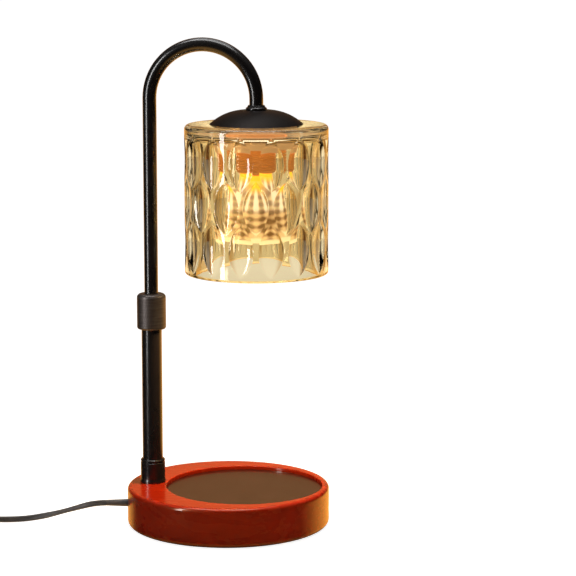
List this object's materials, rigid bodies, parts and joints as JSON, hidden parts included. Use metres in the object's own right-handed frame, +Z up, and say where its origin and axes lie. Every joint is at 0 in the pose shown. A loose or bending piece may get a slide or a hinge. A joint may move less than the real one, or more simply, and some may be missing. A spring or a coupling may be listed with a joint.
{
  "type": "candle warmer lamp",
  "caption": "Table lamp that warms a jar candle from above: wooden base, telescoping post with twist collar, cane arm, cut glass shade, reflector bulb and corded dimmer.",
  "frame": {"origin": "centre of the round base, on the surface it stands on", "axes": "+Z up along the post; +X from the post towards the shade; the lamp without its cord is symmetric about the XZ plane"},
  "size_m": [0.3514, 0.1311, 0.3135],
  "materials": {
    "lacquered_wood": "clear gloss lacquer over red-brown stain",
    "seat_lacquer": "dark brown gloss",
    "ballast_iron": "as cast, oiled",
    "screw_steel": "zinc plated",
    "cover_steel": "black, fine texture",
    "foot_rubber": "matt",
    "black_metal": "satin black lacquer",
    "matt_black": "matt black powder coat",
    "plated_steel": "zinc plated",
    "white_nylon": "natural nylon",
    "black_plastic": "fine matt texture",
    "knob_plastic": "fine matt texture",
    "cord_sheath": "satin PVC",
    "board": "green solder mask",
    "plug_brass": "bright",
    "holder_plastic": "brown moulded",
    "ceramic": "glazed ceramic",
    "ring_brass": "satin",
    "gasket": "silicone",
    "amber_glass": "pressed, polished, pale champagne",
    "bulb_glass": "coated reflector glass",
    "bulb_lens": "clear, lightly frosted",
    "capsule_glass": "clear quartz"
  },
  "bodies": {
    "base": {"base_body": "lacquered_wood", "seat_disc": "seat_lacquer", "ballast_plate": "ballast_iron", "ballast_screws": "screw_steel", "bottom_cover": "cover_steel", "cover_screws": "screw_steel", "rubber_feet": "foot_rubber", "post_ferrule": "black_metal", "post_tube": "black_metal", "tube_plug": "plated_steel", "post_nipple": "plated_steel", "post_washer": "plated_steel", "post_nut": "plated_steel", "grip_collet": "white_nylon", "terminal_block": "white_nylon", "cord_anchor": "black_plastic", "cord_inner": "cord_sheath", "post_flex": "cord_sheath", "cord_strain_relief": "cord_sheath", "cord_lead": "cord_sheath", "cord_mid": "cord_sheath", "cord_coil": "cord_sheath", "cord_tail": "cord_sheath", "dimmer_lower": "black_plastic", "dimmer_upper": "black_plastic", "dimmer_screws": "screw_steel", "dimmer_board": "board", "plug_body": "black_plastic", "plug_blades": "plug_brass"},
    "collar": {"lock_collar": "black_metal"},
    "glide": {"guide_bush": "white_nylon"},
    "arm": {"arm_tube": "black_metal", "arm_end_clip": "plated_steel", "arm_flex": "cord_sheath", "neck_ring": "black_metal", "arm_nipple": "plated_steel", "dome_cap": "matt_black", "cap_washer": "plated_steel", "cap_nut": "plated_steel", "lamp_holder": "holder_plastic", "holder_insert": "ceramic", "shade_ring": "ring_brass", "shade_gasket": "gasket", "glass_shade": "amber_glass", "bulb_reflector": "bulb_glass", "bulb_lens": "bulb_lens", "bulb_base": "ceramic", "bulb_pins": "plated_steel", "bulb_capsule": "capsule_glass"},
    "dimmer_knob": {"dimmer_wheel": "knob_plastic"}
  },
  "joints": [
    {"name": "collar_twist", "type": "hinge", "parent": "base", "child": "collar", "pos_m": [-0.0495, 0, 0.138], "axis": [0, 0, 1], "range_deg": [0, 180]},
    {"name": "arm_slide", "type": "slide", "parent": "base", "child": "glide", "axis": [0, 0, 1], "range_m": [-0.052, 0.018]},
    {"name": "arm_swivel", "type": "hinge", "parent": "glide", "child": "arm", "pos_m": [-0.0495, 0, 0.11], "axis": [0, 0, 1], "range_deg": [-60, 60]},
    {"name": "dimmer_turn", "type": "hinge", "parent": "base", "child": "dimmer_knob", "pos_m": [-0.19742, -0.02512, 0.016], "axis": [0, 0, -1], "range_deg": [0, 270]}
  ]
}
